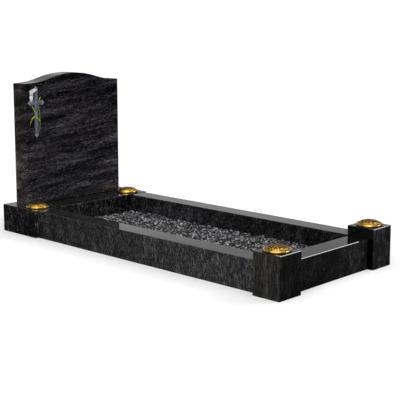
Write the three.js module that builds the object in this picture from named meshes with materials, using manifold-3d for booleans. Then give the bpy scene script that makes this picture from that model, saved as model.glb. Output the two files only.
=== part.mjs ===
// Kerbed memorial: an ogee-topped headstone on a base, kerbs round a bed of chippings, two posts
// at the foot corners, and four sunk flower pots under domed, pierced lids.
// Millimetres, +Z up. The origin is on the ground below the middle of the plan. +Y points from
// the foot to the headstone, whose carved face looks along -Y.

import * as THREE from 'three';
import { ConvexGeometry } from 'three/addons/geometries/ConvexGeometry.js';
import { mergeVertices } from 'three/addons/utils/BufferGeometryUtils.js';
import Module from 'manifold-3d';

// Base of the headstone
const BASE_WIDTH = 838;
const BASE_DEPTH = 300;
const BASE_HEIGHT = 152;

// Headstone
const STONE_WIDTH = 688;
const STONE_THICKNESS = 108;
const SHOULDER_HEIGHT = 684;
const CREST_RISE = 50;
const STONE_SETBACK = 24; // back of the base to the back of the stone
const OGEE_FACETS = 8; // pairs of facets on each arc of the crest

// Kerbs
const KERB_HEIGHT = 150;
const KERB_THICKNESS = 110;
const KERB_INSET = 19; // side of the base to the outer face of a long kerb
const KERB_RUN = 1690; // front of the base to the outer face of the foot kerb

// Posts
const POST_SIDE = 152;
const POST_HEIGHT = 200;
const POST_LAP = 9; // past the inner faces of the kerbs, over the joints at the corner

// Chippings
const BED_HEIGHT = 48; // mean level above the ground
const CHIP_PITCH = 34;
const CHIP_RELIEF = 9; // most that a facet's corner stands above or below the mean level
const CHIP_SHIFT = 8; // most that a facet's corner moves sideways

// Flower pots
const SHEET = 1.6; // thickness of the metal
const POT_RADIUS = 51;
const POT_DEPTH = 112;
const FLANGE_REACH = 6; // beyond the pot's outer wall
const POT_FROM_SIDE = 82; // side of the base to the middle of a head pot
const ROUND_SIDES = 20;

// Lids
const LID_REACH = 9; // beyond the pot's flange
const RIM_WIDTH = 12;
const RIM_HEIGHT = 11;
const RIM_ROUNDING = 3;
const LID_HEIGHT = 28;
const DOME_STEPS = [74, 50, 25]; // degrees from upright at which the dome's outside has a ring
const DOME_INNER_STEPS = [32, 66];
const HOLE_RADIUS = 5;
const HOLE_RINGS = 2; // rings of holes round the middle one, with 6, 12, ... holes
const HOLE_RING_PITCH = 18;
const HOLE_SIDES = 6;

// Carving on the headstone: a cross with a lily and its leaves
const CARVE_DEPTH = 2;
const CROSS_FROM_LEFT = 76; // left edge of the stone to the middle of the shaft
const CROSS_LEVEL = 576; // top of the base to the middle of the arms
const CROSS_SPAN = 115;
const CROSS_ABOVE = 92; // middle of the arms to the tip of the head
const CROSS_BELOW = 196; // middle of the arms to the foot
const CROSS_BAR = 25;
const LOBE_RADIUS = 7.2;
const LOBE_FACETS = 4; // on half of a lobe's circle
const PETAL_WIDTH = 30;
const LEAF_WIDTH = 8;

// Strips of the flower: from, bend and to, across and up from the middle of the arms, as shares of
// the cross below its arms, then the widths in the middle and at the ends as shares of the width
// of a petal or a leaf. The petals are the trumpet and the lip that curls over it; the leaves are
// the stem, the left leaf, the arched one and the small one.
const PETALS = [
  { from: [-0.15, 0.02], bend: [-0.17, 0.16], to: [-0.14, 0.32], middle: 0.85, root: 0.05, tip: 0.9 },
  { from: [-0.22, 0.32], bend: [-0.08, 0.34], to: [0.05, 0.37], middle: 0.72, root: 0.3, tip: 0.1 },
];
const LEAVES = [
  { from: [0.07, -0.05], bend: [0.17, -0.45], to: [0.10, -0.86], middle: 1.0, root: 0.6, tip: 0.4 },
  { from: [-0.15, -0.05], bend: [-0.12, -0.17], to: [0.04, -0.37], middle: 0.8, root: 0.5, tip: 0.4 },
  { from: [0.13, -0.55], bend: [-0.09, -0.22], to: [-0.23, -0.64], middle: 1.2, root: 0.6, tip: 0.3 },
  { from: [0.10, 0.04], bend: [0.13, 0.12], to: [0.18, 0.17], middle: 0.9, root: 0.6, tip: 0.3 },
];

// Fits and edges
const JOINT = 0.3; // gap where two pieces bear on each other
const POT_CLEARANCE = 1.5; // round and under a pot in its socket
const ARRIS = 2.5; // small chamfer on every polished edge

// Places that follow from the sizes above
const kerbOuter = BASE_WIDTH / 2 - KERB_INSET;
const kerbInner = kerbOuter - KERB_THICKNESS;
const postProud = POST_SIDE - KERB_THICKNESS - POST_LAP;
const planLength = BASE_DEPTH + KERB_RUN + postProud;
const backY = planLength / 2;
const baseFrontY = backY - BASE_DEPTH;
const footOuterY = baseFrontY - KERB_RUN;
const footInnerY = footOuterY + KERB_THICKNESS;
const postX = kerbOuter + postProud - POST_SIDE / 2;
const postY = footOuterY - postProud + POST_SIDE / 2;
const ledgeDepth = BASE_DEPTH - STONE_SETBACK - STONE_THICKNESS; // in front of the headstone
const socketRadius = POT_RADIUS + POT_CLEARANCE;
const socketDepth = POT_DEPTH + POT_CLEARANCE;
const flangeRadius = POT_RADIUS + FLANGE_REACH;
const flangeTop = JOINT + SHEET;
const lidRadius = flangeRadius + LID_REACH;
const domeRadius = lidRadius - RIM_WIDTH;
const crossX = -STONE_WIDTH / 2 + CROSS_FROM_LEFT;
const lobeSpacing = LOBE_RADIUS; // between the three lobes at an end of the cross, each way
const lobeRoot = LOBE_RADIUS * 1.5; // tip of the cross to where its bar starts

const granite = (name) => new THREE.MeshStandardMaterial({
  name, color: 0x1d1d20, roughness: 0.14, metalness: 0,
});
const chips = new THREE.MeshStandardMaterial({
  name: 'grey chippings', color: 0x7d7d7f, roughness: 0.85, metalness: 0,
});
const gold = new THREE.MeshStandardMaterial({
  name: 'gold anodised metal', color: 0xc8932c, roughness: 0.2, metalness: 1,
});
const spunMetal = new THREE.MeshStandardMaterial({
  name: 'spun metal', color: 0xb4b6b9, roughness: 0.38, metalness: 1,
});

const wasm = await Module();
wasm.setup();

// A closed three.js geometry as a solid that can be joined and cut.
function toSolid(geometry) {
  const bare = geometry.clone();
  bare.deleteAttribute('normal');
  bare.deleteAttribute('uv');
  const merged = mergeVertices(bare, 1e-4);
  const index = Array.from(merged.index.array);
  const kept = [];
  for (let i = 0; i < index.length; i += 3) {
    const [a, b, c] = index.slice(i, i + 3);
    if (a !== b && b !== c && c !== a) kept.push(a, b, c);
  }
  return new wasm.Manifold(new wasm.Mesh({
    numProp: 3,
    vertProperties: new Float32Array(merged.attributes.position.array),
    triVerts: new Uint32Array(kept),
  }));
}

function toGeometry(solid) {
  const mesh = solid.getMesh();
  const geometry = new THREE.BufferGeometry();
  geometry.setAttribute('position', new THREE.BufferAttribute(mesh.vertProperties, 3));
  geometry.setIndex(new THREE.BufferAttribute(mesh.triVerts, 1));
  const flat = geometry.toNonIndexed();
  flat.computeVertexNormals();
  return flat;
}

// A block on z = 0, middle at the origin, with its top and upright edges chamfered.
function block(width, depth, height) {
  const points = [];
  for (const sx of [-1, 1]) {
    for (const sy of [-1, 1]) {
      const x = sx * width / 2;
      const y = sy * depth / 2;
      const inX = x - sx * ARRIS;
      const inY = y - sy * ARRIS;
      points.push(new THREE.Vector3(x, inY, 0), new THREE.Vector3(inX, y, 0));
      points.push(new THREE.Vector3(x, inY, height - ARRIS));
      points.push(new THREE.Vector3(inX, y, height - ARRIS));
      points.push(new THREE.Vector3(inX, inY, height));
    }
  }
  return new ConvexGeometry(points);
}

// A blind round hole, open at the given level, as the solid that cuts it.
function socketCutter(x, y, top) {
  const reach = 10;
  const length = socketDepth + reach;
  const cutter = new THREE.CylinderGeometry(socketRadius, socketRadius, length, ROUND_SIDES);
  cutter.rotateX(Math.PI / 2);
  cutter.translate(x, y, top - socketDepth + length / 2);
  return toSolid(cutter);
}

// The headstone's face: square shoulders that sweep up to a rounded crest in equal arcs.
function stoneOutline() {
  const half = STONE_WIDTH / 2;
  const radius = (half ** 2 + CREST_RISE ** 2) / (4 * CREST_RISE);
  const turn = Math.asin(half / 2 / radius);
  const up = Math.PI / 2;
  const shape = new THREE.Shape();
  shape.moveTo(-half, 0);
  shape.lineTo(half, 0);
  shape.lineTo(half, SHOULDER_HEIGHT);
  shape.absarc(half, SHOULDER_HEIGHT + radius, radius, -up, -up - turn, true);
  shape.absarc(0, SHOULDER_HEIGHT + CREST_RISE - radius, radius, up - turn, up + turn, false);
  shape.absarc(-half, SHOULDER_HEIGHT + radius, radius, -up + turn, -up, true);
  shape.closePath();
  return shape;
}

// A flat form on the headstone's face as the solid that sinks it into the stone.
function sink(shape) {
  const cutter = new THREE.ExtrudeGeometry(shape, {
    depth: CARVE_DEPTH * 2, bevelEnabled: false, curveSegments: LOBE_FACETS,
  });
  cutter.rotateX(Math.PI / 2);
  cutter.translate(0, -STONE_THICKNESS / 2 + CARVE_DEPTH, 0);
  return toSolid(cutter);
}

function bar(x0, x1, z0, z1) {
  const shape = new THREE.Shape();
  shape.moveTo(x0, z0);
  shape.lineTo(x1, z0);
  shape.lineTo(x1, z1);
  shape.lineTo(x0, z1);
  shape.closePath();
  return shape;
}

function disc(x, z, radius) {
  const shape = new THREE.Shape();
  shape.absarc(x, z, radius, 0, 2 * Math.PI, false);
  return shape;
}

// A petal, leaf or stem: a strip along a bowed line, widest in the middle.
function blade(width, { from, bend, to, middle, root, tip }) {
  const steps = 7;
  const point = ([across, up]) => new THREE.Vector2(crossX, CROSS_LEVEL)
    .addScaledVector(new THREE.Vector2(across, up), CROSS_BELOW);
  const line = new THREE.QuadraticBezierCurve(point(from), point(bend), point(to));
  const sides = [-1, 1].map((side) => Array.from({ length: steps + 1 }, (_, i) => {
    const t = i / steps;
    const ends = root * (1 - t) + tip * t;
    const half = width / 2 * (ends + (middle - ends) * Math.sin(Math.PI * t));
    const tangent = line.getTangent(t);
    return line.getPoint(t).add(new THREE.Vector2(tangent.y, -tangent.x).multiplyScalar(side * half));
  }));
  return new THREE.Shape([...sides[1], ...sides[0].reverse()]);
}

// The cross with trefoil ends, the lily that leans on its head, and the stem and leaves below.
function carving() {
  const cz = CROSS_LEVEL;
  const half = CROSS_BAR / 2;
  const arm = CROSS_SPAN / 2;
  const forms = [
    sink(bar(crossX - half, crossX + half, cz - CROSS_BELOW + lobeRoot, cz + CROSS_ABOVE - lobeRoot)),
    sink(bar(crossX - arm + lobeRoot, crossX + arm - lobeRoot, cz - half, cz + half)),
  ];
  const ends = [[0, 1, CROSS_ABOVE], [0, -1, CROSS_BELOW], [-1, 0, arm], [1, 0, arm]];
  for (const [dx, dz, reach] of ends) {
    for (const side of [-1, 0, 1]) {
      const out = reach - LOBE_RADIUS * (1 + Math.abs(side));
      const off = side * lobeSpacing;
      forms.push(sink(disc(crossX + dx * out + dz * off, cz + dz * out + dx * off, LOBE_RADIUS)));
    }
  }
  for (const petal of PETALS) forms.push(sink(blade(PETAL_WIDTH, petal)));
  for (const leaf of LEAVES) forms.push(sink(blade(LEAF_WIDTH, leaf)));
  return forms.reduce((all, form) => all.add(form));
}

function headstone() {
  const slab = new THREE.ExtrudeGeometry(stoneOutline(), {
    depth: STONE_THICKNESS - 2 * ARRIS,
    bevelThickness: ARRIS,
    bevelSize: ARRIS,
    bevelOffset: -ARRIS,
    bevelSegments: 1,
    curveSegments: OGEE_FACETS,
  });
  slab.rotateX(Math.PI / 2);
  slab.translate(0, STONE_THICKNESS / 2 - ARRIS, 0);
  return toGeometry(toSolid(slab).subtract(carving()));
}

function headstoneBase() {
  let solid = toSolid(block(BASE_WIDTH, BASE_DEPTH, BASE_HEIGHT));
  for (const side of [-1, 1]) {
    const x = side * (BASE_WIDTH / 2 - POT_FROM_SIDE);
    solid = solid.subtract(socketCutter(x, (ledgeDepth - BASE_DEPTH) / 2, BASE_HEIGHT));
  }
  return toGeometry(solid);
}

function post() {
  const solid = toSolid(block(POST_SIDE, POST_SIDE, POST_HEIGHT));
  return toGeometry(solid.subtract(socketCutter(0, 0, POST_HEIGHT)));
}

// A repeatable number from -1 to 1 for each corner of the bed's facets.
function scatter(i, j, k) {
  const wave = Math.sin(i * 127.1 + j * 311.7 + k * 74.7) * 43758.5453;
  return 2 * (wave - Math.floor(wave)) - 1;
}

// The bed: a low block under a rough layer, notched where the posts stand into it.
function chippingsBed() {
  const width = 2 * (kerbInner - JOINT);
  const length = baseFrontY - footInnerY - 2 * JOINT;
  const columns = Math.round(width / CHIP_PITCH);
  const rows = Math.round(length / CHIP_PITCH);
  const roughDepth = BED_HEIGHT / 2;
  const bed = new THREE.BoxGeometry(width, length, roughDepth, columns, rows, 1);
  bed.translate(0, 0, BED_HEIGHT - roughDepth / 2);
  const corners = bed.attributes.position;
  for (let n = 0; n < corners.count; n += 1) {
    if (corners.getZ(n) < BED_HEIGHT) continue;
    const i = Math.round((corners.getX(n) / width + 0.5) * columns);
    const j = Math.round((corners.getY(n) / length + 0.5) * rows);
    corners.setZ(n, BED_HEIGHT + CHIP_RELIEF * scatter(i, j, 0));
    if (i > 0 && i < columns && j > 0 && j < rows) {
      corners.setX(n, corners.getX(n) + CHIP_SHIFT * scatter(i, j, 1));
      corners.setY(n, corners.getY(n) + CHIP_SHIFT * scatter(i, j, 2));
    }
  }
  const core = new THREE.BoxGeometry(width, length, BED_HEIGHT - CHIP_RELIEF * 2);
  core.translate(0, 0, BED_HEIGHT / 2 - CHIP_RELIEF);
  let solid = toSolid(core).add(toSolid(bed));
  const middleY = (baseFrontY + footInnerY) / 2;
  for (const side of [-1, 1]) {
    const room = POST_SIDE + 2 * JOINT;
    const notch = new THREE.BoxGeometry(room, room, 3 * POST_HEIGHT);
    notch.translate(side * postX, postY - middleY, 0);
    solid = solid.subtract(toSolid(notch));
  }
  return toGeometry(solid);
}

// A closed ring or cup turned about the z axis from an outline of [radius, height] pairs.
function turned(outline) {
  const points = outline.map(([r, z]) => new THREE.Vector2(r, z));
  const lathe = new THREE.LatheGeometry(points, ROUND_SIDES);
  return toSolid(lathe.rotateX(Math.PI / 2));
}

// An open pot that hangs by its flange, z = 0 at the face of the stone.
function pot() {
  const bore = POT_RADIUS - SHEET;
  const bottom = flangeTop - POT_DEPTH;
  return toGeometry(turned([
    [0, bottom],
    [POT_RADIUS, bottom],
    [POT_RADIUS, JOINT],
    [flangeRadius, JOINT],
    [flangeRadius, flangeTop],
    [bore, flangeTop],
    [bore, bottom + SHEET],
    [0, bottom + SHEET],
  ]));
}

// A lid: a rolled rim that bears on the pot's flange, and a pierced dome.
function lid() {
  const seat = flangeTop + JOINT;
  const skirt = lidRadius - SHEET * 2;
  const domeFoot = RIM_HEIGHT - RIM_ROUNDING;
  const dome = (radius, foot, top, steps) => steps.map((degrees) => {
    const angle = THREE.MathUtils.degToRad(degrees);
    return [radius * Math.sin(angle), foot + (top - foot) * Math.cos(angle)];
  });
  const outer = dome(domeRadius, domeFoot, LID_HEIGHT, DOME_STEPS);
  const inner = dome(domeRadius - SHEET, domeFoot - SHEET, LID_HEIGHT - SHEET, DOME_INNER_STEPS);
  let solid = turned([
    [0, LID_HEIGHT - SHEET],
    ...inner,
    [domeRadius - SHEET, seat],
    [skirt, seat],
    [skirt, JOINT],
    [lidRadius - SHEET, JOINT],
    [lidRadius, RIM_HEIGHT / 2],
    [lidRadius - RIM_ROUNDING, RIM_HEIGHT],
    [domeRadius + RIM_ROUNDING, RIM_HEIGHT],
    [domeRadius, domeFoot],
    ...outer,
    [0, LID_HEIGHT],
  ]);
  for (let ring = 0; ring <= HOLE_RINGS; ring += 1) {
    const count = ring === 0 ? 1 : 6 * ring;
    for (let n = 0; n < count; n += 1) {
      const angle = 2 * Math.PI * n / count;
      const hole = new THREE.CylinderGeometry(HOLE_RADIUS, HOLE_RADIUS, 2 * LID_HEIGHT, HOLE_SIDES);
      hole.rotateX(Math.PI / 2);
      hole.translate(ring * HOLE_RING_PITCH * Math.cos(angle), ring * HOLE_RING_PITCH * Math.sin(angle),
        LID_HEIGHT);
      solid = solid.subtract(toSolid(hole));
    }
  }
  return toGeometry(solid);
}

const memorial = new THREE.Group();
memorial.name = 'kerbed memorial';

function place(parent, name, geometry, material, x, y, z) {
  const mesh = new THREE.Mesh(geometry, material);
  mesh.name = name;
  mesh.position.set(x, y, z);
  parent.add(mesh);
  return mesh;
}

// The headstone on its base
const head = new THREE.Group();
head.position.set(0, baseFrontY + BASE_DEPTH / 2, 0);
memorial.add(head);
place(head, 'headstone_base', headstoneBase(), granite('base granite'), 0, 0, 0);
place(head, 'headstone', headstone(), granite('headstone granite'),
  0, BASE_DEPTH / 2 - STONE_SETBACK - STONE_THICKNESS / 2, BASE_HEIGHT + JOINT);

// Kerbs, each a gap short of what it butts against
const kerbs = new THREE.Group();
memorial.add(kerbs);
const longEnd = postY + POST_SIDE / 2 + JOINT;
const longLength = baseFrontY - JOINT - longEnd;
const longKerb = block(KERB_THICKNESS, longLength, KERB_HEIGHT);
const shortKerb = block(2 * (postX - POST_SIDE / 2 - JOINT), KERB_THICKNESS, KERB_HEIGHT);
const longX = (kerbOuter + kerbInner) / 2;
for (const [side, name] of [[-1, 'kerb_left'], [1, 'kerb_right']]) {
  place(kerbs, name, longKerb, granite('kerb granite'), side * longX, longEnd + longLength / 2, 0);
}
place(kerbs, 'kerb_foot', shortKerb, granite('kerb granite'), 0, (footOuterY + footInnerY) / 2, 0);

const postShape = post();
for (const [side, name] of [[-1, 'post_left'], [1, 'post_right']]) {
  place(kerbs, name, postShape, granite('post granite'), side * postX, postY, 0);
}

place(memorial, 'chippings', chippingsBed(), chips, 0, (baseFrontY + footInnerY) / 2, 0);

// A pot and its lid in each socket
const potShape = pot();
const lidShape = lid();
const headPotX = BASE_WIDTH / 2 - POT_FROM_SIDE;
const headPotY = baseFrontY + ledgeDepth / 2;
const sockets = [
  ['head_left', -headPotX, headPotY, BASE_HEIGHT],
  ['head_right', headPotX, headPotY, BASE_HEIGHT],
  ['foot_left', -postX, postY, POST_HEIGHT],
  ['foot_right', postX, postY, POST_HEIGHT],
];
for (const [where, x, y, top] of sockets) {
  const holder = new THREE.Group();
  holder.position.set(x, y, top);
  memorial.add(holder);
  place(holder, `pot_${where}`, potShape, spunMetal, 0, 0, 0);
  place(holder, `lid_${where}`, lidShape, gold, 0, 0, 0);
}

export default memorial;
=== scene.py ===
"""Looks of the kerbed memorial: streaked dark granite, grey chippings, gold lids and painted carving.

Metres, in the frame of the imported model: +Z up, +Y from the foot to the headstone."""
import math
import random

import bmesh
import bpy
import numpy as np
from mathutils import Matrix, Vector
from mathutils.bvhtree import BVHTree


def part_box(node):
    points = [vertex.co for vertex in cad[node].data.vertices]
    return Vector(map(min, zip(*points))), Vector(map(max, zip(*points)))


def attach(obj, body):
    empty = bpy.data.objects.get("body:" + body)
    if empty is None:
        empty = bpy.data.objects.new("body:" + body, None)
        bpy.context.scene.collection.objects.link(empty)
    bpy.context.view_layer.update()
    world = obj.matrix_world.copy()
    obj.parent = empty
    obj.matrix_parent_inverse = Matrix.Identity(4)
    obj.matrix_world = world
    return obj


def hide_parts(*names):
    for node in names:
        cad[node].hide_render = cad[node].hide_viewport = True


MM = 0.001

# Camera, at the viewpoint of the photograph
CAMERA_PLACE = (-3.4705, -3.4274, 1.1846)
CAMERA_YAW = 46.52  # degrees from +Y towards +X
CAMERA_PITCH = 8.903  # degrees below level
CAMERA_LENS = 84.77  # millimetres
CAMERA_SENSOR = 36.0  # millimetres
CAMERA_SHIFT = -0.08

# What the polish mirrors: its level by the sine of the height above the horizon, the side where it is
# brightest, how much that side weighs, the mean of all sides and the least share of any
SURROUNDINGS = ((-1.0, 0.04), (-0.05, 0.06), (0.04, 0.20), (0.08, 0.25), (0.15, 0.46), (0.18, 0.54),
                (0.20, 0.68), (0.215, 0.63), (0.232, 0.48), (0.30, 0.40), (1.0, 0.30))
BRIGHT_SIDE = (0.3, 0.95, 0.0)
BRIGHT_WEIGHT = 0.73
BRIGHT_MEAN = 0.36
BRIGHT_LEAST = 0.08

# Lamps: the strength, the way to the lamp and how many degrees across it looks
LAMPS = {
    "key": (1.25, (-1.0, -0.35, 1.0), 70),
    "front": (0.6, (0.1, -1.0, 1.2), 100),
    "top": (1.05, (0.0, 0.0, 1.0), 60),
    "left glint": (0.45, (-0.57, -0.41, 0.71), 12),
    "right glint": (0.20, (0.78, -0.26, 0.57), 10),
    "middle glint": (0.45, (0.585, -0.405, 0.704), 12),
}

# Stage
FLOOR_REACH = 60
FLOOR_SHADE = 0.95
WALL_HEIGHT = 60
WALL_GLOW = 1.05
STAGE_ROUGHNESS = 0.9

# Granite: the slow waver of its grain, the dashes, the bands that gather them, the fine crystals, the
# shades by how pale the mixture is, and the lowest and highest roughness of the polish
WAVER_REACH = (0.02, 0.03, 0.04)
WAVER_SCALE = 6.0
WAVER_DETAIL = 3.0
DASH_NOISE = {"Detail": 4.0, "Roughness": 0.6, "Distortion": 0.5}
BAND_NOISE = {"Detail": 2.0}
CRYSTAL_SCALE = 240.0
CRYSTAL_WEIGHT = 0.16
SEED_SPREAD = (1.0, 0.7, 1.3)
STONE_SHADES = ((0.34, 0.0006), (0.50, 0.0052), (0.62, 0.0270), (0.80, 0.0850))
POLISH = (0.03, 0.08)

# Each stone: the run of its grain and the way across its layers, its own seed, the painted shading of its
# faces to the left, to the front and on top and of those turned out of the camera's sight, slightly tinted
# shades that stand in for the light and reflection each face takes, the reach of its dashes and bands along
# the grain, within a layer and across it, the bands' weight, the contrast, and a painted light gradient: how
# much paler the stone's colour grows per metre along X, Y and Z
STONES = {
    "headstone": dict(
        along=(1, 0, 0.13), thin=(0, 0.2, 1), seed=1.3,
        side_shades=((4.3, 3.75, 3.45), (3.75, 3.5, 4.2), (1.7, 1.6, 1.9)), far=(3.9, 3.6, 4.1),
        dash=(0.022, 0.010, 0.0034), band=(0.30, 0.12, 0.030), cloud=0.6, contrast=0.84,
        painted_light_drift=(0, 0, -0.81)),
    "headstone_base": dict(
        along=(0.1, 0.2, 1), thin=(1, 1, 0), seed=4.1,
        side_shades=((0.66, 0.60, 0.58), (1.5, 1.32, 1.32), (0.3, 0.3, 0.3)), far=(1.1, 1.05, 1.07),
        dash=(0.030, 0.010, 0.008), band=(0.15, 0.06, 0.03), cloud=0.4, contrast=1.25),
    "kerb_left": dict(
        along=(0.2, 0.15, 1), thin=(0, 1, 0), seed=7.7,
        side_shades=((3.2, 3.25, 3.2), (2.4, 2.4, 2.4), (1.9, 1.9, 1.9)), far=(2.4, 2.4, 2.4),
        dash=(0.027, 0.0075, 0.006), band=(0.15, 0.06, 0.05), cloud=0.3, contrast=0.6,
        painted_light_drift=(0, -0.55, 0)),
    "kerb_right": dict(
        along=(0.1, -0.2, 1), thin=(0, 1, 0), seed=9.2,
        side_shades=((1.5, 1.45, 1.6), (1.7, 1.7, 1.75), (1, 1, 1)), far=(1.9, 1.9, 1.95),
        dash=(0.018, 0.010, 0.006), band=(0.15, 0.10, 0.07), cloud=0.5, contrast=0.9,
        painted_light_drift=(0, 0.5, 0)),
    "kerb_foot": dict(
        along=(0.1, 0, 1), thin=(1, 0, 0), seed=2.4,
        side_shades=((2.2, 2.2, 2.2), (1.6, 1.62, 1.72), (0.2, 0.2, 0.2)), far=(2.2, 2.2, 2.25),
        dash=(0.035, 0.030, 0.020), band=(0.15, 0.10, 0.08), cloud=0.6, contrast=0.27,
        painted_light_drift=(1.1, 0, 0)),
    "post_left": dict(
        along=(0, 0.05, 1), thin=(0, 1, 0), seed=3.8,
        side_shades=((3.5, 3.25, 2.95), (1.15, 1.15, 1.18), (1, 1, 1)), far=(2.6, 2.5, 2.4),
        dash=(0.060, 0.010, 0.008), band=(0.20, 0.05, 0.04), cloud=0.3, contrast=0.32),
    "post_right": dict(
        along=(0.1, 0, 1), thin=(1, 0, 0), seed=5.9,
        side_shades=((0.07, 0.07, 0.07), (2.4, 2.4, 2.6), (1, 1, 1)), far=(2.6, 2.6, 2.7),
        dash=(0.035, 0.030, 0.020), band=(0.10, 0.08, 0.06), cloud=0.5, contrast=0.35),
}

# Chippings: how many kinds of chip, the corners of one, and as shares of its length how thick and wide it
# is and how far out its corners lie
CHIP_KINDS = 24
CHIP_CORNERS = 13
CHIP_THICKNESS = (0.35, 0.6)
CHIP_BREADTH = (0.65, 0.95)
CHIP_CORNER_REACH = (0.82, 1.05)
CHIP_SIZE = (0.006, 0.0108)  # half the length of a chip
CHIP_TILT = 0.35  # radians, the usual lean
CHIP_UNEVENNESS = 0.002
CHIP_JITTER = (0.1, 0.9)  # where a chip may lie in its square of the grid, as shares of the square
CHIP_PITCH = 0.0145
UPPER_PITCH = CHIP_PITCH * 1.15
UPPER_LIFT = 0.006
UPPER_SHARE = 0.85  # of the squares that hold a chip
CHIP_SHADES = ((0.0, 0.045), (0.4, 0.13), (0.75, 0.25), (1.0, 0.43))
CHIP_TINT = (1.0, 0.97, 1.03)
CHIP_GRAIN_SCALE = 260.0
CHIP_GRAIN_DETAIL = 3.0
CHIP_GRAIN_WEIGHT = 0.5
CHIP_ROUGHNESS = 0.7
CHIP_SHEEN = 0.3  # the shader's specular level
CHIP_RELIEF = (0.4, 0.001)  # strength and depth
# Share of the chips' colour kept on the bed and the lower chips: painted shade for the gaps between chips
GAP_SHADE = 0.13

# Metals: the pale and the deep colour, the roughness, the scale of the smudges, and the strength of the
# relief if chased and of the clear coat if lacquered; the gold dome's near-black deep colour paints a
# speckle of shade that stands in for the shade in small holes
METALS = {
    "gold rim": dict(colour=(0.80, 0.49, 0.08), deep=(0.60, 0.34, 0.05), roughness=0.10, lacquer=1.0),
    # Painted shade: a near-black speckle standing in for the shade in small holes.
    "gold dome": dict(colour=(0.62, 0.38, 0.07), deep=(0.09, 0.045, 0.01), roughness=0.34, scale=120.0,
                      relief=0.8),
    "spun metal": dict(colour=(0.60, 0.60, 0.61), deep=(0.42, 0.42, 0.43), roughness=0.38),
}
SMUDGE_SCALE = 45.0
SMUDGE_AND_SHADE_DETAIL = 4.0
SMUDGE_AND_SHADE_EDGES = (0.40, 0.60)
SMUDGE_ROUGHNESS = 0.12  # how far the roughness changes over a smudge
CHASING_DEPTH = 0.002
LACQUER_ROUGHNESS = 0.05

# Lids and pots, in millimetres as the part's own sizes are
ROUND_STEPS = 96
ROUND_SMOOTH = 35  # degrees
SHEET = 1.6
RIM_WIDTH = 12
RIM_HEIGHT = 11
RIM_WIDEST = 4.5  # height at which the rim is widest
RIM_HOLLOW = 2.2  # height of the hollow under the rim
LID_GAP = 0.3
DOME_RISE = 20
DOME_SUNK = 3  # how far the dome's foot lies below the rim's top
DOME_ARC = (6, 84, 22)  # arcs: from and to in degrees above the level, and steps
DOME_INNER_ARC = (82, 12, 14)
RIM_ARC = (-20, 150, 16)
HOLE_RADIUS = 5
HOLE_STEPS = 24
HOLE_LENGTH = 60
HOLE_RINGS = 2
HOLE_RING_PITCH = 18
HOLES_PER_RING = 6  # times the ring's number
FLANGE_WIDTH = 6
POT_CORNER = 3
POT_INNER_CORNER = 2
POT_CORNER_ARC = (-90, 0, 6)

# Carving, in millimetres, on the lines of the part's own recess
CARVE_DEPTH = 2
CROSS_FROM_LEFT = 76
CROSS_LEVEL = 576
CROSS_SPAN = 115
CROSS_ABOVE = 92
CROSS_BELOW = 196
CROSS_BAR = 25
LOBE_RADIUS = 7.2
LOBE_ROOT = 1.5  # how many lobe radii the knots end short of the tips
PAINT = 0.3  # heights above the floor of the recess
BORDER_TOP = 1.0
BORDER_HALF = 1.1
BORDER_INSET = 1.3
BORDER_STEPS = 6
BOSS_RADIUS = 2.2
BOSS_HALF = 2.0
RING_STEPS = 24
CORD_TOP = 0.95
CORD_SWELL = 0.25
CORD_WIDTH = 2.9
CORD_REACH = 5.6
CORD_PITCH = 38
CORD_STEP = 1.5
CARVED_SMOOTH = 50  # degrees
FLAT = 0.01  # how far a face may lie off the floor of the recess and still be a part of it
# Cross-section of a raised band, as shares of its half width and of its height
BAND_PROFILE = ((-1.0, 0.0), (-1.0, 0.35), (-0.72, 0.75), (-0.3, 0.97), (0.0, 1.0),
                (0.3, 0.97), (0.72, 0.75), (1.0, 0.35), (1.0, 0.0))

# Petals and leaves: from, bend and to as shares of the cross below its arms, the shares of the width in the
# middle, at the root and at the tip, and the height
PETAL_WIDTH = 30
LEAF_WIDTH = 8
STRIP_STEPS = 24
STRIP_SHARE = 0.97  # of the recess's width
TRUMPET = [((-0.15, 0.02), (-0.17, 0.16), (-0.14, 0.32), 0.85, 0.05, 0.9, 1.5)]
LIP = [((-0.22, 0.32), (-0.08, 0.34), (0.05, 0.37), 0.72, 0.3, 0.1, 1.8)]
FOLD = [((-0.22, 0.20), (-0.15, 0.215), (-0.07, 0.25), 0.34, 0.15, 0.15, 1.95)]
SHADE = [((-0.105, 0.06), (-0.035, 0.20), (-0.03, 0.33), 0.27, 0.14, 0.14, 1.2)]
STEM = [((0.07, -0.05), (0.17, -0.45), (0.10, -0.86), 1.0, 0.6, 0.4, 1.5)]
LEAVES = [
    ((-0.15, -0.05), (-0.12, -0.17), (0.04, -0.37), 0.8, 0.5, 0.4, 1.45),
    ((0.13, -0.55), (-0.09, -0.22), (-0.23, -0.64), 1.2, 0.6, 0.3, 1.7),
    ((0.10, 0.04), (0.13, 0.12), (0.18, 0.17), 0.9, 0.6, 0.3, 1.6),
]

# Paints: the pale and the deep shade, and the scale of the strokes
PAINTS = {
    "slate-blue paint": ((0.035, 0.038, 0.055), (0.02, 0.022, 0.035), 120),
    "blue-grey paint": ((0.34, 0.36, 0.45), (0.17, 0.185, 0.25), 90),
    "cream paint": ((0.88, 0.85, 0.80), (0.64, 0.63, 0.61), 70),
    "deep green paint": ((0.20, 0.30, 0.04), (0.08, 0.17, 0.03), 60),
    "leaf-green paint": ((0.42, 0.53, 0.04), (0.24, 0.33, 0.03), 60),
}
STROKE_DETAIL = 3.0
STROKE_EDGES = (0.38, 0.62)
PAINT_ROUGHNESS = 0.55
PAINT_SHEEN = 0.1  # the shader's specular level

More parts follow.
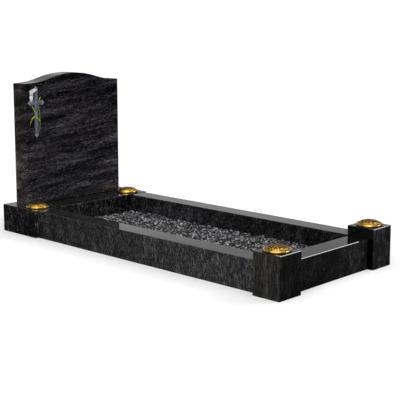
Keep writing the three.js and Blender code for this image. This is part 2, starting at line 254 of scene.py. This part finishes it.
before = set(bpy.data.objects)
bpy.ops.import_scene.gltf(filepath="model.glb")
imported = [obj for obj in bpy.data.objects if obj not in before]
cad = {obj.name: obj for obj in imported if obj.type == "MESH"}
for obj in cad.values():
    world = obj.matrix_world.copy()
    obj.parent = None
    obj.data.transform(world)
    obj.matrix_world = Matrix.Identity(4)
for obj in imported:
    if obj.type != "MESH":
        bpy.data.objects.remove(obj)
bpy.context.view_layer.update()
stone_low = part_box("headstone")[0]
rng = random.Random(11)


def node(tree, kind, inputs=None, **settings):
    """Adds a shader node, with a number or a link for each named input."""
    made = tree.nodes.new(kind)
    for name, value in settings.items():
        setattr(made, name, value)
    for name, value in (inputs or {}).items():
        if isinstance(value, bpy.types.NodeSocket):
            tree.links.new(value, made.inputs[name])
        else:
            made.inputs[name].default_value = value
    return made


def new_material(name):
    material = bpy.data.materials.new(name)
    material.use_nodes = True
    return material, material.node_tree, material.node_tree.nodes["Principled BSDF"]


def ramp(tree, factor, stops):
    """Colours along a factor, from (place, (red, green, blue)) pairs."""
    made = node(tree, "ShaderNodeValToRGB", {"Fac": factor})
    elements = made.color_ramp.elements
    while len(elements) < len(stops):
        elements.new(1.0)
    for element, (place, colour) in zip(elements, stops):
        element.position = place
        element.color = (*colour, 1.0)
    return made.outputs["Color"]


def noise(tree, where, scale, **settings):
    """Cloudy noise around 0.5, from places in metres."""
    return node(tree, "ShaderNodeTexNoise", {"Vector": where, "Scale": scale, **settings})


def math_node(tree, operation, a, b):
    return node(tree, "ShaderNodeMath", {0: a, 1: b}, operation=operation).outputs[0]


def vector_node(tree, operation, a, b):
    return node(tree, "ShaderNodeVectorMath", {0: a, 1: b}, operation=operation).outputs[0]


def dot_product(tree, a, b):
    return node(tree, "ShaderNodeVectorMath", {0: a, 1: b}, operation="DOT_PRODUCT").outputs["Value"]


def times(tree, colour, factor):
    return node(tree, "ShaderNodeVectorMath", {0: colour, "Scale": factor}, operation="SCALE").outputs[0]


def scaled(tree, value, factor, offset):
    """The value times a factor, plus an offset."""
    made = math_node(tree, "MULTIPLY_ADD", value, factor)
    made.node.inputs[2].default_value = offset
    return made


def swing(tree, value, reach, middle=0.0):
    """A value from 0 to 1, made to run over the given reach around the given middle."""
    return scaled(tree, value, reach, middle - 0.5 * reach)


def add_relief(tree, shader, height, strength, depth):
    bump = node(tree, "ShaderNodeBump", {"Height": height, "Strength": strength, "Distance": depth})
    tree.links.new(bump.outputs[0], shader.inputs["Normal"])


def grain_turn(along, thin):
    """The rotation that lays the world's axes on the grain's: X along the streaks, Z across the layers."""
    x = Vector(along).normalized()
    z = Vector(thin)
    z = (z - x * z.dot(x)).normalized()
    y = z.cross(x)
    return Matrix((x, y, z)).to_euler("XYZ")


def painted_side_shading(tree, side_shades, far):
    """Painted shading by the way a face looks: slightly tinted shades that make it lighter or darker as
    light and reflection fall on it, to the left, to the front and up, far every other way.
    """
    facing = node(tree, "ShaderNodeSeparateXYZ", {0: node(tree, "ShaderNodeNewGeometry").outputs["Normal"]})
    side_shading = (0, 0, 0)
    for axis, way, side_shade in zip("XYZXYZ", (-1, -1, 1, 1, 1, -1), (*side_shades, far, far, far)):
        share = math_node(tree, "MAXIMUM", math_node(tree, "MULTIPLY", facing.outputs[axis], way), 0.0)
        side_shading = vector_node(tree, "ADD", side_shading, times(tree, side_shade, share))
    return side_shading


def granite(name, along, thin, seed, side_shades, far, dash, band, cloud, contrast, painted_light_drift=(0, 0, 0)):
    """Polished dark stone: pale crystals in short dashes, gathered in wavering bands, with painted shading
    by the way each face looks and a painted light gradient.
    """
    material, tree, shader = new_material(name)
    where = node(tree, "ShaderNodeTexCoord").outputs["Object"]
    laid = node(tree, "ShaderNodeMapping", {
        "Vector": where, "Rotation": grain_turn(along, thin), "Location": [seed * s for s in SEED_SPREAD],
    }).outputs[0]
    waver = noise(tree, laid, WAVER_SCALE, Detail=WAVER_DETAIL).outputs["Color"]
    shift = vector_node(tree, "SUBTRACT", waver, (0.5, 0.5, 0.5))
    bent = vector_node(tree, "ADD", laid, vector_node(tree, "MULTIPLY", shift, WAVER_REACH))
    dashes = noise(tree, vector_node(tree, "DIVIDE", bent, dash), 1.0, **DASH_NOISE).outputs[0]
    bands = noise(tree, vector_node(tree, "DIVIDE", bent, band), 1.0, **BAND_NOISE).outputs[0]
    crystals = node(tree, "ShaderNodeTexVoronoi", {"Vector": laid, "Scale": CRYSTAL_SCALE}).outputs["Color"]
    crystals = node(tree, "ShaderNodeSeparateColor", {"Color": crystals}).outputs[0]
    mixed = math_node(tree, "ADD", dashes, swing(tree, bands, cloud))
    mixed = math_node(tree, "ADD", mixed, swing(tree, crystals, CRYSTAL_WEIGHT))
    mixed = swing(tree, mixed, contrast, 0.5)
    colour = ramp(tree, mixed, [(place, (shade,) * 3) for place, shade in STONE_SHADES])
    # Painted shading: each face made lighter or darker by the way it faces, standing in for the light and
    # reflection it takes.
    colour = vector_node(tree, "MULTIPLY", colour, painted_side_shading(tree, side_shades, far))
    # Painted light: the colour grows paler along a given way, standing in for uneven light and reflection on
    # the stone.
    painted_shading = scaled(tree, dot_product(tree, where, painted_light_drift), 1.0, 1.0)
    tree.links.new(times(tree, colour, painted_shading), shader.inputs["Base Color"])
    tree.links.new(scaled(tree, crystals, POLISH[1] - POLISH[0], POLISH[0]), shader.inputs["Roughness"])
    return material


def chipping_material(name, painted_shading):
    """Broken grey stone: each chip its own grey, with a fine dusty grain, all times a share that, below one,
    paints the shade of the gaps between chips.
    """
    material, tree, shader = new_material(name)
    where = node(tree, "ShaderNodeTexCoord").outputs["Object"]
    own = node(tree, "ShaderNodeNewGeometry").outputs["Random Per Island"]
    grain = noise(tree, where, CHIP_GRAIN_SCALE, Detail=CHIP_GRAIN_DETAIL).outputs[0]
    mixed = math_node(tree, "ADD", own, swing(tree, grain, CHIP_GRAIN_WEIGHT))
    # The shades times a share: below one it paints the shade of the gaps between chips.
    colour = ramp(tree, mixed, [(place, [shade * painted_shading * t for t in CHIP_TINT])
                                for place, shade in CHIP_SHADES])
    tree.links.new(colour, shader.inputs["Base Color"])
    shader.inputs["Roughness"].default_value = CHIP_ROUGHNESS
    shader.inputs["Specular IOR Level"].default_value = CHIP_SHEEN
    add_relief(tree, shader, grain, *CHIP_RELIEF)
    return material


def metal_material(name, colour, deep, roughness, scale=SMUDGE_SCALE, relief=0.0, lacquer=0.0):
    """Metal with slight changes of colour and sheen; on the gold dome, a dark speckle of painted shade."""
    material, tree, shader = new_material(name)
    where = node(tree, "ShaderNodeTexCoord").outputs["Object"]
    smudge_and_shade_speckle = noise(tree, where, scale, Detail=SMUDGE_AND_SHADE_DETAIL).outputs[0]
    tree.links.new(ramp(tree, smudge_and_shade_speckle, list(zip(SMUDGE_AND_SHADE_EDGES, (deep, colour)))), shader.inputs["Base Color"])
    tree.links.new(swing(tree, smudge_and_shade_speckle, SMUDGE_ROUGHNESS, roughness), shader.inputs["Roughness"])
    shader.inputs["Metallic"].default_value = 1.0
    shader.inputs["Coat Weight"].default_value = lacquer
    shader.inputs["Coat Roughness"].default_value = LACQUER_ROUGHNESS
    if relief:
        add_relief(tree, shader, smudge_and_shade_speckle, relief, CHASING_DEPTH)
    return material


def paint_material(name, pale, deep, scale):
    """Painted stone: two shades in soft strokes."""
    material, tree, shader = new_material(name)
    where = node(tree, "ShaderNodeTexCoord").outputs["Object"]
    strokes = noise(tree, where, scale, Detail=STROKE_DETAIL).outputs[0]
    tree.links.new(ramp(tree, strokes, list(zip(STROKE_EDGES, (deep, pale)))), shader.inputs["Base Color"])
    shader.inputs["Roughness"].default_value = PAINT_ROUGHNESS
    shader.inputs["Specular IOR Level"].default_value = PAINT_SHEEN
    return material


def add_piece(name, mesh, material, smooth_angle=None):
    """A piece of the looks, which rides on the one body."""
    piece = bpy.data.objects.new(name, mesh)
    bpy.context.scene.collection.objects.link(piece)
    mesh.materials.clear()
    mesh.materials.append(material)
    if smooth_angle is not None:
        mesh.shade_smooth()
        mesh.set_sharp_from_angle(angle=math.radians(smooth_angle))
    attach(piece, "root")
    return piece


def dress_solid(name, material):
    """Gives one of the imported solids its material."""
    cad[name].data.materials.clear()
    cad[name].data.materials.append(material)


def chip_shapes():
    """Angular convex lumps, each as (corner array, triangle array) with a half length of 1."""
    shapes = []
    for _ in range(CHIP_KINDS):
        form = bmesh.new()
        thick = rng.uniform(*CHIP_THICKNESS)
        wide = rng.uniform(*CHIP_BREADTH)
        for _ in range(CHIP_CORNERS):
            spot = Vector((rng.gauss(0, 1), rng.gauss(0, 1), rng.gauss(0, 1))).normalized()
            spot *= rng.uniform(*CHIP_CORNER_REACH)
            form.verts.new((spot.x, spot.y * wide, spot.z * thick))
        bmesh.ops.convex_hull(form, input=form.verts)
        inside = [v for v in form.verts if not v.link_faces]
        bmesh.ops.delete(form, geom=inside, context="VERTS")
        bmesh.ops.triangulate(form, faces=form.faces[:])
        bmesh.ops.recalc_face_normals(form, faces=form.faces[:])
        form.verts.index_update()
        corners = np.array([v.co[:] for v in form.verts])
        faces = np.array([[v.index for v in f.verts] for f in form.faces])
        shapes.append((corners, faces))
        form.free()
    return shapes


def lay_chips(name, pitch, lift, share, material):
    """Chips on a jittered grid over the bed, each turned and sized at random."""
    shapes = chip_shapes()
    bed = BVHTree.FromObject(cad["chippings"], bpy.context.evaluated_depsgraph_get())
    low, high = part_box("chippings")
    post_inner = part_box("post_left")[1]
    corners, faces, count = [], [], 0
    columns = int((high.x - low.x) / pitch)
    rows = int((high.y - low.y) / pitch)
    for i in range(columns):
        for j in range(rows):
            if rng.random() > share:
                continue
            size = rng.uniform(*CHIP_SIZE)
            x = low.x + (i + rng.uniform(*CHIP_JITTER)) * (high.x - low.x) / columns
            y = low.y + (j + rng.uniform(*CHIP_JITTER)) * (high.y - low.y) / rows
            x = min(max(x, low.x + size), high.x - size)
            y = min(max(y, low.y + size), high.y - size)
            if abs(x) > -post_inner.x - size and y < post_inner.y + size:
                continue
            surface = bed.ray_cast(Vector((x, y, 1.0)), Vector((0, 0, -1)))[0].z
            z = surface + lift + rng.uniform(-CHIP_UNEVENNESS, CHIP_UNEVENNESS)
            shape, triangles = shapes[rng.randrange(len(shapes))]
            turn = Matrix.Rotation(rng.uniform(0, math.tau), 3, "Z")
            for axis in "XY":
                turn = turn @ Matrix.Rotation(rng.gauss(0, CHIP_TILT), 3, axis)
            corners.append(shape * size @ np.array(turn).T + (x, y, z))
            faces.append(triangles + count)
            count += len(shape)
    mesh = bpy.data.meshes.new(name)
    mesh.from_pydata(np.concatenate(corners).tolist(), [], np.concatenate(faces).tolist())
    add_piece(name, mesh, material)


def finished_mesh(name, form):
    """The mesh of a form, its faces turned outward."""
    bmesh.ops.recalc_face_normals(form, faces=form.faces[:])
    mesh = bpy.data.meshes.new(name)
    form.to_mesh(mesh)
    form.free()
    return mesh


def turned_mesh(name, outline):
    """A mesh turned about the z axis, from (radius, height) pairs in millimetres that may touch the axis."""
    form = bmesh.new()
    rings = []
    for radius, height in outline:
        radius, height = radius * MM, height * MM
        if radius == 0:
            rings.append([form.verts.new((0, 0, height))])
            continue
        ring = []
        for n in range(ROUND_STEPS):
            angle = math.tau * n / ROUND_STEPS
            ring.append(form.verts.new((radius * math.cos(angle), radius * math.sin(angle), height)))
        rings.append(ring)
    for a, b in zip(rings, rings[1:]):
        for n in range(ROUND_STEPS):
            m = (n + 1) % ROUND_STEPS
            around = [a[n % len(a)], a[m % len(a)], b[m % len(b)], b[n % len(b)]]
            form.faces.new(list(dict.fromkeys(around)))
    return finished_mesh(name, form)


def arc(centre, radii, start, end, steps):
    """Points on an ellipse's arc, angles in degrees from the outward axis, up."""
    points = []
    for n in range(steps + 1):
        angle = math.radians(start + (end - start) * n / steps)
        points.append((centre[0] + radii[0] * math.cos(angle), centre[1] + radii[1] * math.sin(angle)))
    return points


def hole_cutter(level):
    """Upright pins for the lid's holes: one in the middle and rings of more around it."""
    form = bmesh.new()
    for ring in range(HOLE_RINGS + 1):
        count = max(1, HOLES_PER_RING * ring)
        for n in range(count):
            angle = math.tau * n / count
            spot = Vector((math.cos(angle), math.sin(angle), 0)) * ring * HOLE_RING_PITCH * MM
            spot += Vector((0, 0, HOLE_LENGTH * MM / 2 + level * MM))
            bmesh.ops.create_cone(form, cap_ends=True, segments=HOLE_STEPS, radius1=HOLE_RADIUS * MM,
                                  radius2=HOLE_RADIUS * MM, depth=HOLE_LENGTH * MM,
                                  matrix=Matrix.Translation(spot))
    mesh = bpy.data.meshes.new("holes")
    form.to_mesh(mesh)
    form.free()
    return mesh


def lid_mesh(lid_radius):
    """A pierced dome inside a rolled rim, z = 0 on the stone."""
    dome = lid_radius - RIM_WIDTH
    foot = RIM_HEIGHT - DOME_SUNK
    rim = RIM_WIDTH / 2
    skirt = lid_radius - 2 * SHEET
    outline = [(0, foot + DOME_RISE - SHEET)]
    outline += arc((0, foot - SHEET), (dome - SHEET, DOME_RISE), *DOME_INNER_ARC)
    outline += [(dome - SHEET, RIM_HOLLOW), (skirt, RIM_HOLLOW), (skirt, LID_GAP)]
    outline += [(lid_radius - SHEET, LID_GAP)]
    outline += arc((lid_radius - rim, RIM_WIDEST), (rim, RIM_HEIGHT - RIM_WIDEST), *RIM_ARC)
    outline += arc((0, foot), (dome, DOME_RISE), *DOME_ARC)
    outline += [(0, foot + DOME_RISE)]
    body = bpy.data.objects.new("lid body", turned_mesh("lid", outline))
    cutter = bpy.data.objects.new("holes", hole_cutter(foot))
    for helper in (body, cutter):
        bpy.context.scene.collection.objects.link(helper)
    cut = body.modifiers.new("holes", "BOOLEAN")
    cut.operation = "DIFFERENCE"
    cut.object = cutter
    cut.solver = "EXACT"
    pierced = bpy.data.meshes.new_from_object(body.evaluated_get(bpy.context.evaluated_depsgraph_get()))
    for helper in (body, cutter):
        bpy.data.objects.remove(helper)
    return pierced


def pot_mesh(flange_radius, top, bottom):
    """An open cup that hangs by its flange, heights above the stone's face."""
    outer = flange_radius - FLANGE_WIDTH
    bore = outer - SHEET
    corner = outer - POT_CORNER
    outline = [(0, bottom), (corner, bottom)]
    outline += arc((corner, bottom + POT_CORNER), (POT_CORNER, POT_CORNER), *POT_CORNER_ARC)
    outline += [(outer, LID_GAP), (flange_radius, LID_GAP), (flange_radius, top), (bore, top)]
    outline += [(bore, bottom + SHEET + POT_INNER_CORNER), (0, bottom + SHEET)]
    return turned_mesh("pot", outline)


def place_round(name, mesh, node_name, seat, material):
    """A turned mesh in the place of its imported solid, standing at the given level."""
    low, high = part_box(node_name)
    mesh.transform(Matrix.Translation(((low.x + high.x) / 2, (low.y + high.y) / 2, seat)))
    piece = add_piece(name, mesh, material, ROUND_SMOOTH)
    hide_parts(node_name)
    return piece


def place_lid_and_pot(place, rim_gold, dome_gold, pot_metal):
    """One lid and the pot below it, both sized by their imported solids."""
    lid_low, lid_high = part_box("lid_" + place)
    pot_low, pot_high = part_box("pot_" + place)
    seat = lid_low.z - LID_GAP * MM
    lid_radius = (lid_high.x - lid_low.x) / 2 / MM
    lid_middle = (lid_low + lid_high) / 2
    flange_radius = (pot_high.x - pot_low.x) / 2 / MM
    lid = place_round("domed_lid_" + place, lid_mesh(lid_radius), "lid_" + place, seat, rim_gold)
    lid.data.materials.append(dome_gold)
    for face in lid.data.polygons:
        away = face.center - lid_middle
        face.material_index = int(math.hypot(away.x, away.y) < (lid_radius - RIM_WIDTH) * MM)
    pot = pot_mesh(flange_radius, (pot_high.z - seat) / MM, (pot_low.z - seat) / MM)
    place_round("flower_pot_" + place, pot, "pot_" + place, seat, pot_metal)


def at_carving(spot, height):
    """A spot on the carving, and a height above the floor of its recess, as a place in the scene."""
    right, up = spot
    return Vector((stone_low.x + (CROSS_FROM_LEFT + right) * MM,
                   stone_low.y + (CARVE_DEPTH - height) * MM,
                   stone_low.z + (CROSS_LEVEL + up) * MM))


def add_band(form, line, halves, tops, closed=False):
    """A low rounded band along a line of spots: its half widths and the heights of its crown."""
    rings = []
    for n, (spot, half, top) in enumerate(zip(line, halves, tops)):
        before = line[n - 1] if n or closed else line[0]
        after = line[(n + 1) % len(line)] if n + 1 < len(line) or closed else line[-1]
        way = Vector((after[0] - before[0], after[1] - before[1])).normalized()
        side = Vector((way.y, -way.x))
        ring = []
        for share, rise in BAND_PROFILE:
            place = Vector(spot) + side * (half * share)
            ring.append(form.verts.new(at_carving(place, PAINT + (top - PAINT) * rise)))
        rings.append(ring)
    pairs = list(zip(rings, rings[1:])) + ([(rings[-1], rings[0])] if closed else [])
    for a, b in pairs:
        for n in range(len(BAND_PROFILE)):
            m = (n + 1) % len(BAND_PROFILE)
            form.faces.new((a[n], a[m], b[m], b[n]))
    if not closed:
        form.faces.new(rings[0])
        form.faces.new(rings[-1][::-1])


def add_ring(form, middle, radius, half, top):
    """A raised ring around a middle."""
    line = []
    for n in range(RING_STEPS):
        angle = math.tau * n / RING_STEPS
        line.append((middle[0] + radius * math.cos(angle), middle[1] + radius * math.sin(angle)))
    add_band(form, line, [half] * RING_STEPS, [top] * RING_STEPS, closed=True)


def recess_plate():
    """A thin coat over the floor of the recess, in the shape of the whole carving."""
    form = bmesh.new()
    form.from_mesh(cad["headstone"].data)
    floor = at_carving((0, 0), 0).y
    other = [f for f in form.faces if any(abs(v.co.y - floor) > FLAT * MM for v in f.verts)]
    bmesh.ops.delete(form, geom=other, context="FACES")
    lifted = bmesh.ops.extrude_face_region(form, geom=form.faces[:], use_keep_orig=True)
    for part in lifted["geom"]:
        if isinstance(part, bmesh.types.BMVert):
            part.co.y = at_carving((0, 0), PAINT).y
    return form


def add_plait(form, start, end, crossing):
    """Two plaited cords between borders, which stop at the other bar, so far from the start."""
    start, end = Vector(start), Vector(end)
    length = (end - start).length
    along = (end - start).normalized()
    side = Vector((along.y, -along.x))
    half = CROSS_BAR / 2
    steps = int(length / CORD_STEP)
    for sign in (-1, 1):
        line, tops = [], []
        for n in range(steps + 1):
            s = length * n / steps
            turn = math.tau * s / CORD_PITCH
            line.append(tuple(start + along * s + side * (sign * CORD_REACH * math.sin(turn))))
            tops.append(CORD_TOP + sign * CORD_SWELL * math.cos(turn))
        add_band(form, line, [CORD_WIDTH / 2] * len(line), tops)
        edge = side * (sign * (half - BORDER_INSET))
        for a, b in ((0, crossing - half), (crossing + half, length)):
            line = [tuple(start + along * (a + (b - a) * n / BORDER_STEPS) + edge)
                    for n in range(BORDER_STEPS + 1)]
            add_band(form, line, [BORDER_HALF] * len(line), [BORDER_TOP] * len(line))


def knot_work():
    """Plaits along the shaft and along the arms, and a ring with a boss on each lobe."""
    form = bmesh.new()
    root = LOBE_RADIUS * LOBE_ROOT
    arm = CROSS_SPAN / 2
    add_plait(form, (0, -CROSS_BELOW + root), (0, CROSS_ABOVE - root), CROSS_BELOW - root)
    add_plait(form, (-arm + root, 0), (arm - root, 0), arm - root)
    for dx, dz, reach in ((0, 1, CROSS_ABOVE), (0, -1, CROSS_BELOW), (-1, 0, arm), (1, 0, arm)):
        for side in (-1, 0, 1):
            out = reach - LOBE_RADIUS * (1 + abs(side))
            off = side * LOBE_RADIUS
            middle = (dx * out + dz * off, dz * out + dx * off)
            add_ring(form, middle, LOBE_RADIUS - BORDER_INSET, BORDER_HALF, BORDER_TOP)
            add_ring(form, middle, BOSS_RADIUS, BOSS_HALF, CORD_TOP)
    return form


def curve_spots(start, bend, end):
    """Spots along a line bowed towards one bend."""
    spots = []
    for n in range(STRIP_STEPS + 1):
        t = n / STRIP_STEPS
        weights = ((1 - t) ** 2, 2 * t * (1 - t), t ** 2)
        spots.append(tuple(sum(w * p[i] for w, p in zip(weights, (start, bend, end))) for i in range(2)))
    return spots


def strips(width, shapes):
    """Petals or leaves: low rounded strips along bowed lines, widest in the middle."""
    form = bmesh.new()
    for start, bend, end, middle, root, tip, top in shapes:
        line = curve_spots(*[(a * CROSS_BELOW, b * CROSS_BELOW) for a, b in (start, bend, end)])
        halves = []
        for n in range(STRIP_STEPS + 1):
            t = n / STRIP_STEPS
            ends = root * (1 - t) + tip * t
            halves.append(width / 2 * STRIP_SHARE * (ends + (middle - ends) * math.sin(math.pi * t)))
        add_band(form, line, halves, [top] * len(line))
    return form


def carved_piece(name, form, material):
    add_piece(name, finished_mesh(name, form), material, CARVED_SMOOTH)


def set_camera():
    data = bpy.data.cameras.new("camera")
    data.sensor_width = CAMERA_SENSOR
    data.lens = CAMERA_LENS
    data.shift_y = CAMERA_SHIFT
    camera = bpy.data.objects.new("camera", data)
    camera.location = CAMERA_PLACE
    camera.rotation_euler = (math.radians(90 - CAMERA_PITCH), 0, math.radians(-CAMERA_YAW))
    bpy.context.scene.collection.objects.link(camera)
    bpy.context.scene.camera = camera


def stage_piece(name, corners, faces, colour, glow):
    """A plain pale piece of the stage, which the polished stones don't mirror."""
    mesh = bpy.data.meshes.new(name)
    mesh.from_pydata(corners, [], faces)
    piece = bpy.data.objects.new(name, mesh)
    material, tree, shader = new_material("pale " + name)
    shader.inputs["Base Color"].default_value = (colour, colour, colour, 1)
    shader.inputs["Roughness"].default_value = STAGE_ROUGHNESS
    shader.inputs["Specular IOR Level"].default_value = 0.0
    shader.inputs["Emission Color"].default_value = (1, 1, 1, 1)
    shader.inputs["Emission Strength"].default_value = glow
    mesh.materials.append(material)
    bpy.context.scene.collection.objects.link(piece)
    piece.visible_glossy = False
    return piece


def set_stage():
    """A pale floor to the horizon, with a pale wall round it that only the camera sees."""
    reach = FLOOR_REACH
    corners = [(-reach, -reach, 0), (reach, -reach, 0), (reach, reach, 0), (-reach, reach, 0)]
    tops = [(x, y, WALL_HEIGHT) for x, y, z in corners]
    sides = [(n, (n + 1) % 4, 4 + (n + 1) % 4, 4 + n) for n in range(4)]
    stage_piece("floor", corners, [(0, 1, 2, 3)], FLOOR_SHADE, 0.0)
    wall = stage_piece("wall", corners + tops, sides, 0.0, WALL_GLOW)
    wall.visible_diffuse = False
    wall.visible_shadow = False


def set_surroundings():
    """Soft surroundings for the polish to mirror, brighter to one side."""
    world = bpy.data.worlds.new("surroundings")
    bpy.context.scene.world = world
    world.use_nodes = True
    tree = world.node_tree
    way = node(tree, "ShaderNodeTexCoord").outputs["Generated"]
    height = node(tree, "ShaderNodeSeparateXYZ", {0: way}).outputs["Z"]
    level = ramp(tree, scaled(tree, height, 0.5, 0.5),
                 [(0.5 + 0.5 * place, (shade,) * 3) for place, shade in SURROUNDINGS])
    side = scaled(tree, dot_product(tree, way, BRIGHT_SIDE), BRIGHT_WEIGHT, BRIGHT_MEAN)
    side = math_node(tree, "MAXIMUM", side, BRIGHT_LEAST)
    tree.links.new(level, tree.nodes["Background"].inputs["Color"])
    tree.links.new(side, tree.nodes["Background"].inputs["Strength"])


def set_lamps():
    for name, (strength, origin, spread) in LAMPS.items():
        data = bpy.data.lights.new(name, "SUN")
        data.energy = strength
        data.angle = math.radians(spread)
        lamp = bpy.data.objects.new(name, data)
        lamp.rotation_euler = Vector(origin).to_track_quat("Z", "Y").to_euler()
        bpy.context.scene.collection.objects.link(lamp)


set_camera()
set_stage()
set_surroundings()
set_lamps()
bpy.context.scene.view_settings.view_transform = "Standard"

for stone, look in STONES.items():
    dress_solid(stone, granite(stone + " granite", **look))

# Painted shade: the bed and the lower chips are made darker, standing in for the shade in the gaps between
# the chips.
gap_shaded = chipping_material("crushed stone, damp", GAP_SHADE)
unshaded = chipping_material("crushed stone, dry", 1.0)
dress_solid("chippings", gap_shaded)
lay_chips("chippings_lower", CHIP_PITCH, 0.0, 1.0, gap_shaded)
lay_chips("chippings_upper", UPPER_PITCH, UPPER_LIFT, UPPER_SHARE, unshaded)

metals = [metal_material(name, **look) for name, look in METALS.items()]
for place in ("head_left", "head_right", "foot_left", "foot_right"):
    place_lid_and_pot(place, *metals)

paints = [paint_material(name, *look) for name, look in PAINTS.items()]
slate, blue_grey, cream, deep_green, leaf_green = paints
carved_piece("carved_ground", recess_plate(), slate)
carved_piece("carved_knots", knot_work(), blue_grey)
carved_piece("carved_trumpet", strips(PETAL_WIDTH, TRUMPET), cream)
carved_piece("carved_lip", strips(PETAL_WIDTH, LIP), cream)
carved_piece("carved_fold", strips(PETAL_WIDTH, FOLD), blue_grey)
carved_piece("carved_shade", strips(PETAL_WIDTH, SHADE), slate)
carved_piece("carved_stem", strips(LEAF_WIDTH, STEM), deep_green)
carved_piece("carved_leaves", strips(LEAF_WIDTH, LEAVES), leaf_green)
